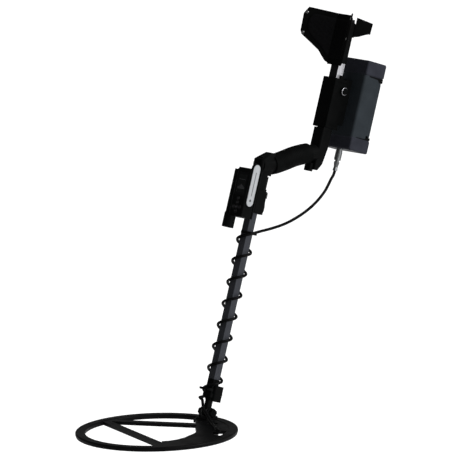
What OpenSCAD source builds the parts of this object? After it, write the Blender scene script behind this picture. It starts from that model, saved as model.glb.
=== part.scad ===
// Hand-held metal detector: round search coil on a tilting lug, square telescopic rod with its lead wound
// round it, cranked handle with a display pod and a search lamp, and a rear tube with arm cuff, stand and
// control box. Built along the shaft: +x is the shaft's front, +y the user's left, +z up the shaft, and
// the coil's hinge pin is at zero. shaft_frame() then leans it back and puts the grip's centre at the origin.

/* [Shaft] */
// Angle the shaft leans back from upright
shaft_lean = 20; // [10:1:30]
// Width of the square lower rod
rod_w = 19.5; // [16:0.5:22]
// Top end of the lower rod, inside the handle
rod_top = 565; // [550:5:565]
// Width of the square upper tube
tube_w = 22.5; // [20:0.5:24]
// Distance of the upper tube behind the lower rod
tube_back = 165.5; // [164:0.5:167]
// Top end of the upper tube
tube_top = 926; // [910:2:930]

/* [Coil] */
// Outer diameter of the search coil
coil_d = 360; // [340:5:380]
// Radial width of the coil's ring
ring_w = 22; // [18:1:26]
// Thickness of the coil without its skid plate
coil_t = 8.5; // [8:0.5:12]
// Distance of the coil's centre in front of the hinge pin
coil_reach = 155; // [150:1:156]
// Height of the hinge pin above the coil's top face
pin_rise = 14; // [13:0.5:18]
// Width of a spoke
spoke_w = 18; // [14:1:22]

/* [Grip] */
// Outside diameter of the rubber grip
grip_d = 46; // [42:1:46]

/* [Pod] */
// Width of the display pod
pod_w = 42; // [38:1:42]
// Height of the display pod along the shaft
pod_h = 110; // [106:1:114]
// Diameter of the search lamp's barrel
lamp_d = 23.5; // [22:0.5:24]

/* [Control box] */
// Width of the control box across its end caps
box_w = 102; // [98:2:106]
// Depth of the control box
box_d = 60; // [58:1:64]
// Length of the control box along the shaft
box_h = 204; // [200:1:204]

/* [Arm cuff] */
// Length of each cuff wall from its fold to its free edge
cuff_reach = 71.5; // [68:0.5:78]
// Thickness of the cuff walls
cuff_t = 3.2; // [3:0.2:4]

/* [Lead] */
// Diameter of the coil's lead
lead_d = 6.6; // [6:0.2:7]
// Number of turns round the rod
lead_turns = 7; // [5:1:7]
// Distance between turns
lead_pitch = 48.6; // [40:0.2:48.6]

/* [Hidden] */

eps = 0.02;
gap = 0.3;
run = 0.06;
black = [0.03, 0.03, 0.035];
dark = [0.06, 0.06, 0.065];
silver = [0.66, 0.67, 0.69];

coil_r = coil_d / 2;
skid_t = 1.5;
coil_z = -pin_rise;
pin_r = 4;
ear_gap = 16;
ear_t = 5;

grip_mid = [-85, 0, 596];
grip_route = [[10, 561], [0, 562.5], [-12, 564.5], [-25, 568], [-38, 572.5], [-51, 578.5], [-65, 585.5],
    [-78, 592.5], [-92, 599.5], [-105, 605], [-118, 610], [-130, 614], [-146, 618], [-163, 620]];
arm_w = 33;
arm_top = 678;
arm_bottom = 580.5;

collar_z = [453, 505];
pod_z = 436;
pod_front = 51;
pod_rear = 13.8;
pod_top = pod_z + pod_h;
lamp_at = [34.5, -29.5];
lamp_z = [410, 541];
key_r = 4.4;

clamp_z = [680, 793];
clamp_w = 41;
clamp_x = [-147, -188];
knob_at = [-181.5, 768];

box_front = -207;
box_z = [644, 644 + box_h];
cap_h = [30, 33];
box_inset = 2;
wall = 2.4;
plug_x = -229;

cuff_top = 936.5;
fold_x = -tube_back + tube_w / 2 + 4.2;
cuff_half = 20;
rivet_z = [878, 924];
rivet_reach = 68;

lead_r = 18;
spiral_low = 43.5;
spiral_high = spiral_low + (lead_turns + 0.5) * lead_pitch;
lead_route = [[-229, 0, 593.8], [-227.5, 0.2, 584], [-222.5, 0.5, 573], [-217, 1.5, 559], [-210, 2.5, 544],
    [-199.5, 4, 529], [-186, 5.5, 513], [-169, 7, 496.5], [-147, 9, 479], [-118, 11, 459.5], [-92, 13, 445.5],
    [-66, 15, 434], [-42, 16.5, 424.5], [-22, 17.5, 417]];
lead_end = [-0.8, 18, 408.4];
tail_top = [[-0.3, -18, 43.3], [-4.5, -18.8, 41.5], [-7, -20.5, 37.5], [-4.5, -22.3, 33.5], [2, -22.3, 31],
    [9, -20, 29.5], [15.5, -15, 28], [20, -7, 26], [22.5, 1, 23.5]];
tail_low = [[23, 14, 13.5], [23, 22, 5.5], [25, 30, -2], [29, 39, -7.5], [35, 48.5, -10], [43, 60, -10.7],
    [54, 76, -10.7], [66, 93, -10.6], [77, 108, -9.6], [84, 117, -8.6]];
gland_at = [92, 127];

// ---- placing ----

function lean(p) = [
    p[0] * cos(shaft_lean) - p[2] * sin(shaft_lean), p[1], p[0] * sin(shaft_lean) + p[2] * cos(shaft_lean)];

// Leans what is drawn along the shaft, and puts the middle of the grip at the origin
module shaft_frame() {
    rotate([0, -shaft_lean, 0])
        translate(-grip_mid)
            children();
}

// Level frame of the coil: +x forward, +z up, the hinge pin at zero
module coil_frame() {
    translate(lean(-grip_mid))
        children();
}

// ---- shared shapes ----

// A box given by its two corners
module span(a, b) {
    translate([min(a[0], b[0]), min(a[1], b[1]), min(a[2], b[2])])
        cube([abs(b[0] - a[0]), abs(b[1] - a[1]), abs(b[2] - a[2])]);
}

// Flat outline of a rectangle with round corners, centred
module round_rect(w, h, r) {
    union() {
        square([w - 2 * r, h], center = true);
        square([w, h - 2 * r], center = true);
        for (sx = [-1, 1], sy = [-1, 1])
            translate([sx * (w / 2 - r), sy * (h / 2 - r)])
                circle(r, $fn = 32);
    }
}

// A post with round corners: centre [x, y], size [x, y], from z0 to z1
module post(at, size, z0, z1, r) {
    translate([at[0], at[1], z0])
        linear_extrude(z1 - z0)
            round_rect(size[0], size[1], r);
}

// A cylinder along y, from y0 to y1
module rod_y(r, y0, y1, x = 0, z = 0, fn = 40) {
    translate([x, y0, z])
        rotate([-90, 0, 0])
            cylinder(r = r, h = y1 - y0, $fn = fn);
}

// A cylinder along x, from x0 to x1
module rod_x(r, x0, x1, y = 0, z = 0, fn = 32) {
    translate([x0, y, z])
        rotate([0, 90, 0])
            cylinder(r = r, h = x1 - x0, $fn = fn);
}

function unit(v) = v / norm(v);
function heading(path, i) = unit(path[min(i + 1, len(path) - 1)] - path[max(i - 1, 0)]);

// One round ring of a tube, square to its heading; ref is a direction that the route never follows
function ring(p, t, r, sides, ref) =
    let (a = unit(cross(t, ref)), b = cross(t, a))
    [for (k = [0 : sides - 1]) p + r * (cos(360 * k / sides) * a + sin(360 * k / sides) * b)];

function tube_faces(rings, sides) = concat(
    [[for (k = [0 : sides - 1]) k]],
    [for (i = [0 : rings - 2], k = [0 : sides - 1], h = [0, 1])
        let (n = (k + 1) % sides, a = i * sides, b = a + sides)
        h == 0 ? [a + k, b + k, b + n] : [a + k, b + n, a + n]],
    [[for (k = [sides - 1 : -1 : 0]) (rings - 1) * sides + k]]);

// A round tube swept along a route
module tube(path, r, sides, ref) {
    points = [for (i = [0 : len(path) - 1]) each ring(path[i], heading(path, i), r, sides, ref)];
    polyhedron(points, tube_faces(len(path), sides), convexity = 10);
}

// A point between others on a smooth curve through the route's points
function curve(a, b, c, d, t) = 0.5 * (2 * b + (c - a) * t + (2 * a - 5 * b + 4 * c - d) * t * t
    + (3 * b - a - 3 * c + d) * t * t * t);
function smooth(path, steps) = concat(
    [for (i = [0 : len(path) - 2], k = [0 : steps - 1])
        let (last = len(path) - 1)
        curve(path[max(i - 1, 0)], path[i], path[i + 1], path[min(i + 2, last)], k / steps)],
    [path[len(path) - 1]]);

// The handle's bent bar: oval sections half_y wide and half_n deep on the grip's route
module bar(route, half_y, half_n, sides, power = 1) {
    function soft(v) = sign(v) * pow(abs(v), power);
    path = [for (p = route) [p[0], 0, p[1]]];
    points = [for (i = [0 : len(path) - 1])
        let (t = heading(path, i), up = cross(t, [0, 1, 0]))
        each [for (k = [0 : sides - 1])
            let (a = 360 * k / sides)
            path[i] + half_y * soft(cos(a)) * [0, 1, 0] + half_n * soft(sin(a)) * up]];
    polyhedron(points, tube_faces(len(path), sides), convexity = 6);
}

// ---- coil ----

function on_ring(r, a) = [r * cos(a), r * sin(a)];

// Outline of the web that carries the lugs, along the ring's left rear
module web_outline() {
    inner = [[92, 112], [70, 88], [57, 97], [37, 102], [10, 100], [-9, 93], [-25, 89], [-40, 82], [-55, 69],
        [-78, 42], [-108, 22], [-128, 12], [-133, -20]];
    outer = [for (a = [190 : -5 : 50]) on_ring(coil_r - 12, a)];
    polygon(concat(inner, outer));
}

// A slot that follows the ring, between two radii and two angles
module arc_slot(r0, r1, a0, a1) {
    polygon(concat([for (a = [a0 : 2 : a1]) on_ring(r0, a)], [for (a = [a1 : -2 : a0]) on_ring(r1, a)]));
}

// Outline of a straight spoke between two points
module spoke_outline(a, b) {
    d = b - a;
    translate(a)
        rotate(atan2(d[1], d[0]))
            translate([0, -spoke_w / 2])
                square([norm(d), spoke_w]);
}

module coil_plan() {
    right = [0, 12 - coil_r];
    difference() {
        union() {
            web_outline();
            translate([-coil_reach, 0])
                circle(26, $fn = 48);
            spoke_outline(right, [-110, 38]);
            spoke_outline(right, [100, 134]);
        }
        translate([-126, 47])
            rotate(-50)
                round_rect(24, 13, 5);
        arc_slot(coil_r - 41, coil_r - ring_w - 1, 109, 127);
    }
}

module coil_shell() color(black) coil_frame() translate([coil_reach, 0, coil_z - coil_t]) {
    mid = coil_r - ring_w / 2;
    difference() {
        union() {
            rotate_extrude($fn = 144)
                translate([mid, coil_t / 2])
                    round_rect(ring_w, coil_t, 3);
            intersection() {
                linear_extrude(coil_t - 1)
                    coil_plan();
                cylinder(r = coil_r - 4, h = coil_t, $fn = 144);
            }
            intersection() {
                translate([-coil_reach, 0, 0])
                    cylinder(r = 25, h = coil_t, $fn = 64);
                cylinder(r = coil_r - 4, h = coil_t, $fn = 144);
            }
        }
        rotate_extrude($fn = 144)
            translate([mid, coil_t / 2])
                square([12.6, 5.6], center = true);
    }
}

module coil_winding() color([0.55, 0.27, 0.12]) coil_frame() translate([coil_reach, 0, coil_z - coil_t / 2])
    rotate_extrude($fn = 120)
        translate([coil_r - ring_w / 2, 0])
            round_rect(12, 5, 1.5);

module skid_plate() color(dark) coil_frame() translate([coil_reach, 0, coil_z - coil_t - skid_t])
    rotate_extrude($fn = 144)
        translate([coil_r - ring_w / 2, skid_t / 2 - eps])
            square([ring_w - 3, skid_t - 2 * eps], center = true);

ear_in = ear_gap / 2 + 0.4;
ear_out = ear_in + ear_t;

module coil_bracket() color(black) coil_frame() {
    ear_r = 11;
    base_z = coil_z + eps;
    difference() {
        union() {
            translate([0, 0, base_z])
                linear_extrude(3)
                    round_rect(38, 38, 6);
            for (s = [-1, 1])
                translate([0, s * (ear_in + ear_t / 2), 0])
                    rotate([90, 0, 0])
                        linear_extrude(ear_t, center = true) {
                            circle(ear_r, $fn = 48);
                            translate([-ear_r, base_z])
                                square([2 * ear_r, -base_z]);
                        }
            for (x = [-14, 14], y = [-14.5, 14.5])
                translate([x, y, base_z])
                    cylinder(r = 2.8, h = 4.4, $fn = 24);
        }
        rod_y(pin_r + run, -40, 40);
    }
}

module coil_gland() color(dark) coil_frame() translate([gland_at[0], gland_at[1], coil_z - 1 + eps]) {
    cylinder(r = 9, h = 4, $fn = 32);
    translate([0, 0, 5.2])
        rotate([0, -78, 54.5])
            translate([0, 0, -2])
                cylinder(r1 = 5.6, r2 = 4.4, h = 13, $fn = 32);
}

// ---- hinge ----

module hinge_bolt() color(dark) coil_frame() {
    rod_y(pin_r, -ear_out - 1, ear_out + 10.5);
    rod_y(9, -ear_out - 6, -ear_out - 0.4, fn = 6);
}

module hinge_knob() color(black) coil_frame() difference() {
    union() {
        rod_y(7, ear_out + 0.4, ear_out + 5);
        rod_y(8.5, ear_out + 4, ear_out + 10);
        for (a = [0, 90])
            rotate([0, a, 0])
                span([-10, ear_out + 4.5, -3], [10, ear_out + 9.5, 3]);
    }
    rod_y(pin_r + run, 0, 60);
}

module hinge_washers() color([0.2, 0.2, 0.2]) coil_frame() for (s = [-1, 1]) difference() {
    translate([0, s * (ear_gap / 2 - 0.55), 0])
        rod_y(10, -0.8, 0.8);
    rod_y(pin_r + run, -40, 40);
}

// ---- lower rod ----

rod_low = 74;
eye_half = ear_gap / 2 - 1.5;

module rod_end() color(black) shaft_frame() difference() {
    union() {
        rod_y(10, -eye_half, eye_half);
        post([0, 0], [16, 2 * eye_half], 3, 31, 4);
        hull() {
            post([0, 0], [16, 2 * eye_half], 26, 28, 4);
            post([0, 0], [21, 21], 36, 38, 4);
        }
        post([0, 0], [21, 21], 37, rod_low, 4);
        post([0, 0], [rod_w - 3.2, rod_w - 3.2], rod_low - 1, rod_low + 34, 1.2);
    }
    rod_y(pin_r + run, -40, 40);
}

module lower_rod() color([0.10, 0.11, 0.12]) shaft_frame() difference() {
    post([0, 0], [rod_w, rod_w], rod_low + 0.1, rod_top, 1.6);
    post([0, 0], [rod_w - 3, rod_w - 3], rod_low - 1, rod_top + 1, 1);
}

module lock_collar() color(black) shaft_frame() difference() {
    union() {
        post([-8, 4], [28, 28], 26, 61, 7);
        post([0, 0], [27, 27], 33, 42, 5);
    }
    post([0, 0], [21.04, 21.04], 20, 80, 4);
    rod_x(2.5 + run, -40, 0, 2, 44);
}

module lock_knob() color(dark) shaft_frame() {
    rod_x(2.5, -24, -10.7, 2, 44);
    rod_x(7, -27.5, -22.4, 2, 44);
    for (a = [0 : 45 : 315])
        rod_x(1.3, -27.2, -22.6, 2 + 6.6 * cos(a), 44 + 6.6 * sin(a), 16);
}

// ---- lead ----

function spiral_point(z) =
    let (a = -90 + (z - spiral_low) / lead_pitch * 360)
    [lead_r * cos(a), lead_r * sin(a), z];

module spiral_tube(z0, z1, r) {
    rings = ceil((z1 - z0) / lead_pitch * 14);
    path = [for (i = [0 : rings]) spiral_point(z0 + i * (z1 - z0) / rings)];
    tube(path, r, 8, [0, 0, 1]);
}

lead_path = smooth(concat(lead_route, [lead_end]), 2);

module cable_spiral() color(black) shaft_frame()
    spiral_tube(spiral_low, spiral_high, lead_d / 2);

module cable_straps() color(dark) shaft_frame() {
    difference() {
        post([0, 5.8], [rod_w + 2.6, 33.6], spiral_high - 3, spiral_high + 2.5, 4);
        post([0, 0], [rod_w + 0.04, rod_w + 0.04], 300, 500, 1.6);
        spiral_tube(spiral_high - 30, spiral_high, lead_d / 2 + 0.1);
        tube([for (i = [len(lead_path) - 4 : len(lead_path) - 1]) lead_path[i]], lead_d / 2 + 0.15, 8, [0, 1, 0]);
    }
    difference() {
        post([4.6, -5.2], [30.4, 33.2], spiral_low + 4, spiral_low + 9, 5);
        post([0, 0], [21.04, 21.04], 0, 100, 4);
        post([-8, 4], [28.2, 28.2], 0, 100, 7);
        spiral_tube(spiral_low, spiral_low + 30, lead_d / 2 + 0.1);
    }
}

module cable_tail() color(black) coil_frame() {
    path = concat([for (p = tail_top) lean(p)], tail_low);
    tube(smooth(path, 2), lead_d / 2, 8, [0.7, -0.7, 0.1]);
}

module cable_lead() color(black) shaft_frame()
    tube(lead_path, lead_d / 2, 8, [0, 1, 0]);

// ---- handle ----

screw_at = [[-20, 569], [-144, 606]];

module handle_body() {
    difference() {
        union() {
            bar(grip_route, grip_d / 2 - 4, grip_d / 2 - 4, 24);
            post([0, 0], [27, 27], collar_z[1] + gap, 556, 4);
            hull() {
                post([0, 0], [27, 28], 546, 548, 5);
                post([-1, 0], [37, 32], 558, 573, 8);
                post([-13, 0], [24, 26], 541.5, 560, 6);
                post([-19, 0], [18, 24], 587, 593, 8);
            }
            hull() {
                post([-164.5, 0], [12, arm_w], arm_bottom + 18, arm_bottom + 20, 4);
                post([-153, 0], [12, arm_w], arm_bottom + 2, arm_bottom + 4, 4);
                post([-163, 0], [31, arm_w], 636, 638, 6);
            }
            post([-163, 0], [31, arm_w], 636, arm_top, 6);
            post([-145, 0], [12, 20], arm_bottom - 3, 596, 4);
        }
        post([0, 0], [rod_w + 0.5, rod_w + 0.5], 500, rod_top + 14, 1.6);
        post([-tube_back, 0], [tube_w + 0.6, tube_w + 0.6], 626, arm_top + 1, 1.6);
        for (p = screw_at) {
            rod_y(1.65, -30, 12, p[0], p[1], 20);
            rod_y(3.2, -30, -14, p[0], p[1], 24);
        }
    }
}

module handle_left() color(black) shaft_frame() intersection() {
    handle_body();
    span([-200, 0.02, 400], [60, 60, 800]);
}

module handle_right() color(black) shaft_frame() intersection() {
    handle_body();
    span([-200, -60, 400], [60, -0.02, 800]);
}

module handle_screws() color(silver) shaft_frame() for (p = screw_at) {
    rod_y(1.6, -15, 10, p[0], p[1], 20);
    rod_y(3, -16.6, -14.1, p[0], p[1], 24);
}

grip_part = [for (i = [3 : 11]) grip_route[i]];

module grip_sleeve() color([0.05, 0.05, 0.05]) shaft_frame() difference() {
    intersection() {
        bar(grip_part, grip_d / 2, grip_d / 2, 32);
        span([-28.5, -40, 520], [-138, 40, 660]);
    }
    bar(grip_route, grip_d / 2 - 3.97, grip_d / 2 - 3.97, 24);
}

module rod_collar() color(dark) shaft_frame() difference() {
    union() {
        post([-2.7, 0], [32.6, 38], collar_z[0], collar_z[1], 6);
        hull() {
            post([-2.7, 0], [32.6, 36], collar_z[0] + 2, collar_z[1] - 18, 6);
            post([-5.2, 0], [37.6, 32], collar_z[0] + 10, collar_z[0] + 18, 6);
        }
        for (s = [-1, 1])
            span([-26, s * 5.6, collar_z[1] - 14], [-16, s * 11, collar_z[1] - 1]);
    }
    post([0, 0], [rod_w + 0.5, rod_w + 0.5], 400, 600, 1.6);
    span([-40, -5.4, collar_z[1] - 14], [-17, 5.4, collar_z[1] + 1]);
    rod_y(2, -30, 30, -22, collar_z[1] - 8);
}

module rod_lever() color(black) shaft_frame() difference() {
    union() {
        rod_y(4.6, -5, 5, -22, collar_z[1] - 8);
        span([-26, -5, collar_z[1] - 8], [-20.6, 5, collar_z[1] + 6]);
        span([-22, -6.5, collar_z[1] + 3], [-14.5, 6.5, collar_z[1] + 34]);
    }
    rod_y(2 + run, -30, 30, -22, collar_z[1] - 8);
}

module lever_pin() color(silver) shaft_frame()
    rod_y(2, -11, 11, -22, collar_z[1] - 8);

// ---- display pod ----

module pod_case() color(black) shaft_frame() {
    mid = (pod_front + 19) / 2;
    difference() {
        union() {
            post([mid, 0], [pod_front - 19, pod_w], pod_z, pod_top, 5);
            translate([36, pod_w / 2 + 0.99, 0])
                rotate([90, 0, 0])
                    linear_extrude(5)
                        translate([0, 510])
                            round_rect(24.4, 99, 12.1);
        }
        post([mid - 2, 0], [pod_front - 19, pod_w - 5], pod_z + 2.6, pod_top - 2.6, 3);
        span([pod_front - 1.6, -15, 484], [pod_front + 1, 15, 536]);
        for (k = key_places)
            rod_x(key_r + gap, pod_front - 9, pod_front + 1, k[0], k[1]);
        translate([lamp_at[0], lamp_at[1], 400]) {
            cylinder(r = lamp_d / 2 + 0.03, h = 160, $fn = 48);
            cylinder(r = lamp_d / 2 + 2.2, h = 43.6, $fn = 48);
        }
    }
}

module pod_back() color(dark) shaft_frame() difference() {
    post([(19 + pod_rear) / 2, 0], [19 - pod_rear - 0.04, pod_w - 1], pod_z + 1, pod_top - 1, 2);
    translate([lamp_at[0], lamp_at[1], 400])
        cylinder(r = lamp_d / 2 + 2.2, h = 43.6, $fn = 48);
}

module display_window() color([0.02, 0.03, 0.03]) shaft_frame()
    span([pod_front - 1.55, -14.95, 484.05], [pod_front + 0.2, 14.95, 535.95]);

module display_module() color([0.1, 0.25, 0.15]) shaft_frame() {
    span([pod_front - 4.6, -14, 488], [pod_front - 2.9, 14, 532]);
    span([pod_front - 7, -15, 441], [pod_front - 11.4, 15, 540]);
}

// Where each key sits on the pod: [across, along]
key_places = [[0, 476.5], [0, 466.8], [0, 447.2], [9.8, 457], [-9.8, 457], [0, 457]];

module key(i) color([0.16, 0.16, 0.17]) shaft_frame() {
    k = key_places[i];
    rod_x(key_r - 0.05, pod_front - 5.4, pod_front + 1.4, k[0], k[1]);
}

module key_menu() key(0);
module key_up() key(1);
module key_down() key(2);
module key_left() key(3);
module key_right() key(4);
module key_power() key(5);

module nameplate() color(silver) shaft_frame()
    translate([36, pod_w / 2 + 2.2, 510])
        rotate([90, 0, 0])
            linear_extrude(1.2)
                round_rect(20.5, 94, 10.2);

// ---- search lamp ----

module lamp_barrel() color(black) shaft_frame() difference() {
    translate([lamp_at[0], lamp_at[1], lamp_z[0] + 10])
        cylinder(r = lamp_d / 2, h = lamp_z[1] - lamp_z[0] - 10, $fn = 48);
    translate([lamp_at[0], lamp_at[1], lamp_z[0] + 9])
        cylinder(r = lamp_d / 2 - 3, h = lamp_z[1] - lamp_z[0] - 14, $fn = 40);
    translate([lamp_at[0], lamp_at[1], lamp_z[0]])
        cylinder(r = 5 + gap, h = 200, $fn = 32);
}

module lamp_head() color(dark) shaft_frame() translate([lamp_at[0], lamp_at[1], lamp_z[0]]) difference() {
    union() {
        cylinder(r = lamp_d / 2 + 1.5, h = 33, $fn = 48);
        for (a = [0 : 30 : 330])
            rotate(a)
                translate([lamp_d / 2 + 0.6, 0, 4])
                    cylinder(r = 1.2, h = 16, $fn = 16);
    }
    translate([0, 0, 10])
        cylinder(r = lamp_d / 2 + 0.02, h = 40, $fn = 48);
    translate([0, 0, -1])
        cylinder(r = lamp_d / 2 - 2, h = 20, $fn = 48);
}

module lamp_lens() color([0.8, 0.85, 0.9, 0.5]) shaft_frame()
    translate([lamp_at[0], lamp_at[1], lamp_z[0] + 3])
        cylinder(r = lamp_d / 2 - 2.02, h = 2.5, $fn = 48);

module lamp_button() color([0.2, 0.2, 0.2]) shaft_frame()
    translate([lamp_at[0], lamp_at[1], lamp_z[1] - 3.5])
        cylinder(r = 5, h = 6, $fn = 32);

// ---- upper tube ----

module upper_tube() color([0.05, 0.05, 0.055]) shaft_frame() difference() {
    post([-tube_back, 0], [tube_w, tube_w], 650, tube_top, 1.6);
    post([-tube_back, 0], [tube_w - 4, tube_w - 4], 640, tube_top + 1, 1);
    span([-tube_back - 9.5, tube_w / 2 - 0.6, 700], [-tube_back + 9.5, tube_w / 2 + 1, 828]);
}

module scale_plate() color(silver) shaft_frame()
    span([-tube_back - 9.45, tube_w / 2 - 0.58, 700.05], [-tube_back + 9.45, tube_w / 2 - 0.05, 827.95]);

module tube_cap() color(black) shaft_frame() {
    post([-tube_back, 0], [tube_w - 4.06, tube_w - 4.06], tube_top - 14, tube_top + 1, 1);
    post([-tube_back, 0], [tube_w, tube_w], tube_top + 0.02, tube_top + 3, 3);
}

module tube_clamp() color(dark) shaft_frame() difference() {
    depth = clamp_x[0] - clamp_x[1];
    union() {
        post([(clamp_x[0] + clamp_x[1]) / 2, 0], [depth, clamp_w], clamp_z[0], clamp_z[1], 3);
        for (s = [-1, 1])
            span([-164, s * 12.5, clamp_z[1] - 1], [-174, s * 18, clamp_z[1] + 8]);
    }
    post([-tube_back, 0], [tube_w + 0.6, tube_w + 0.6], 600, 900, 1.6);
    for (s = [-1, 1]) {
        span([-157, s * 16.5, clamp_z[0] + 6], [-190, s * 30, clamp_z[1] - 6]);
        span([-tube_back - 5, s * 0.8, 600], [-190, -s * 0.8, 900]);
    }
    rod_y(3 + run, -30, 30, knob_at[0], knob_at[1]);
}

module clamp_knob() color(dark) shaft_frame() {
    rod_y(3, -16, 17.2, knob_at[0], knob_at[1]);
    rod_y(9.4, 16.9, 22, knob_at[0], knob_at[1]);
    rod_y(7.2, 21.9, 24.6, knob_at[0], knob_at[1]);
    for (a = [0 : 36 : 324])
        translate([knob_at[0], 0, knob_at[1]])
            rotate([0, a, 0])
                rod_y(1.2, 17.2, 21.8, 9.2, 0, 16);
}

module box_bracket() color(black) shaft_frame() difference() {
    span([clamp_x[1] - 0.04, -13, 694], [box_front - 0.96, 13, 796]);
    span([clamp_x[1] - 4, -9.5, 700], [box_front + 3, 9.5, 790]);
}

// ---- control box ----

box_mid = box_front - box_d / 2;
body_z = [box_z[0] + cap_h[0], box_z[1] - cap_h[1]];

door_pin = [box_front - box_d + 3.5, body_z[0] + 14.5];

module box_body() color([0.14, 0.145, 0.16]) shaft_frame() {
    size = [box_d - 2, box_w - 2 * box_inset];
    difference() {
        post([box_mid, 0], size, body_z[0] - 6, body_z[1] + 6, 6);
        post([box_mid + 0.3, 0], size - [6, 2 * wall], body_z[0] - 7, body_z[1] + 7, 4);
        span([box_mid - 12, -37, body_z[0] + 12], [box_mid - 60, 37, body_z[1] - 12]);
        rod_y(1.5 + run, -39, 39, door_pin[0], door_pin[1], 24);
        for (s = [-1, 1]) {
            span([box_mid - 23, s * (box_w / 2 - 6), body_z[1] - 14], [box_mid - 60, s * 60, body_z[1] - 4]);
            span([box_mid - 14, s * (box_w / 2 - 5), body_z[0] + 3], [box_mid - 60, s * 60, body_z[0] + 10]);
        }
    }
}

// One end cap of the box, closed at z_end and open at z_open
module end_cap(z_end, z_open) {
    low = min(z_end, z_open);
    high = max(z_end, z_open);
    up = z_open > z_end;
    difference() {
        hull() {
            post([box_mid, 0], [box_d, box_w], low + 3, high - 3, 4);
            post([box_mid, 0], [box_d - 4, box_w - 4], low, high, 3);
        }
        post([box_mid, 0], [box_d - 1.96, box_w - 2 * box_inset + 0.04], up ? high - 6.02 : low - 1,
            up ? high + 1 : low + 6.02, 6);
        post([box_mid, 0], [box_d - 8, box_w - 11], up ? low + 4 : low - 1, up ? high + 1 : high - 4, 4);
        children();
    }
}

module box_top_cap() color([0.17, 0.175, 0.19]) shaft_frame()
    end_cap(box_z[1], body_z[1])
        translate([box_mid, -26, box_z[1] - 8])
            cylinder(r = 6.02, h = 12, $fn = 32);

module box_bottom_cap() color([0.17, 0.175, 0.19]) shaft_frame()
    end_cap(box_z[0], body_z[0])
        translate([plug_x, 0, box_z[0] - 4])
            cylinder(r = 7.02, h = 16, $fn = 40);

module battery_door() color([0.13, 0.135, 0.15]) shaft_frame() {
    outer = door_pin[0] - 1.5;
    span([outer + 3, -36.6, body_z[0] + 18], [outer, 36.6, body_z[1] - 12.4]);
    span([outer + 3, -30, door_pin[1] - 1], [outer, 30, body_z[0] + 18.2]);
    span([outer + 0.1, -12, body_z[1] - 24], [outer - 1.6, 12, body_z[1] - 16]);
    rod_y(1.5, -38.6, 38.6, door_pin[0], door_pin[1], 24);
}

module battery_pack() color([0.1, 0.2, 0.45]) shaft_frame()
    span([box_mid - 21.8, -33, body_z[0] + 16], [box_mid - 1, 33, body_z[1] - 16]);

module main_board() color([0.1, 0.35, 0.18]) shaft_frame() {
    span([box_mid + 8, -40, body_z[0] + 4], [box_mid + 9.6, 40, body_z[1] - 4]);
    for (z = [body_z[0] + 20 : 26 : body_z[1] - 24])
        span([box_mid + 9.5, -28, z], [box_mid + 14, -8, z + 14]);
    span([box_mid + 9.5, 6, body_z[0] + 22], [box_mid + 16, 30, body_z[0] + 60]);
}

module speaker() color([0.2, 0.2, 0.2]) shaft_frame()
    translate([box_mid, 14, body_z[1] + 9]) {
        cylinder(r1 = 9, r2 = 19, h = 10, $fn = 40);
        translate([0, 0, 9.9])
            cylinder(r = 21, h = 3, $fn = 40);
    }

module coil_socket() color(silver) shaft_frame() translate([plug_x, 0, box_z[0] - 12]) difference() {
    union() {
        cylinder(r = 5, h = 20, $fn = 32);
        translate([0, 0, 8])
            cylinder(r = 7, h = 10, $fn = 40);
    }
    translate([0, 0, -1])
        cylinder(r = 3.6, h = 12, $fn = 32);
}

module headphone_socket() color(silver) shaft_frame() translate([box_mid, -26, box_z[1] - 18]) difference() {
    cylinder(r = 6, h = 19.5, $fn = 32);
    translate([0, 0, 3])
        cylinder(r = 3.25, h = 20, $fn = 32);
}

module plug_ring() color(silver) shaft_frame() translate([plug_x, 0, box_z[0] - 26.3]) difference() {
    union() {
        cylinder(r = 7.6, h = 22, $fn = 48);
        for (z = [4 : 4 : 16])
            translate([0, 0, z])
                cylinder(r = 8, h = 2, $fn = 48);
    }
    translate([0, 0, 13])
        cylinder(r = 5 + run, h = 20, $fn = 32);
    translate([0, 0, -1])
        cylinder(r = 4.5 + run, h = 20, $fn = 32);
}

module plug_boot() color(dark) shaft_frame() translate([plug_x, 0, box_z[0] - 50]) {
    translate([0, 0, 8])
        cylinder(r = 4.5, h = 29, $fn = 32);
    cylinder(r1 = 5.6, r2 = 4.5, h = 8.1, $fn = 32);
    translate([0, 0, 8])
        cylinder(r1 = 4.5, r2 = 6.6, h = 12, $fn = 32);
}

// ---- arm cuff ----

// Outline of one wall: x is the distance from its fold, y the height along the shaft
module wall_outline(inset = 0) {
    near = inset > 0 ? 0.1 : -0.5;
    far = cuff_reach - inset;
    top = cuff_top - inset;
    polygon([[near, 823 + inset], [8, 827 + inset], [17, 836.5 + inset], [26, 846.5 + inset],
        [47, 859.5 + inset], [far - 1, 873.5 + inset], [far + 3, 881.5 + inset], [far + 4, top - 16],
        [far - 5, top], [near, top]]);
}

// A wall of thickness t, its inner face standing off the fold by off
module cuff_wall(side, t, off, inset = 0) {
    translate([fold_x, side * cuff_half, 0])
        rotate([0, 0, side * 45])
            rotate([90, 0, 0])
                translate([0, 0, side > 0 ? off : -off - t])
                    linear_extrude(t)
                        wall_outline(inset);
}

module cuff_shell() color(black) shaft_frame() {
    difference() {
        union() {
            cuff_wall(1, cuff_t, -cuff_t);
            cuff_wall(-1, cuff_t, -cuff_t);
            post([fold_x - cuff_t / 2, 0], [cuff_t, 2 * cuff_half + 2], 821, cuff_top, 1);
        }
        for (s = [-1, 1], z = rivet_z)
            rivet_axis(s, z)
                cylinder(r = 2.2, h = 40, center = true, $fn = 20);
    }
}

module cuff_saddle() color(dark) shaft_frame() difference() {
    post([-tube_back + 1.2, 0], [tube_w + 4.8, tube_w + 5], 829, 922, 4);
    post([-tube_back, 0], [tube_w + 0.04, tube_w + 0.04], 810, 940, 1.6);
    span([fold_x - cuff_t - 0.02, -50, 810], [fold_x + 50, 50, 950]);
}

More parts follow.
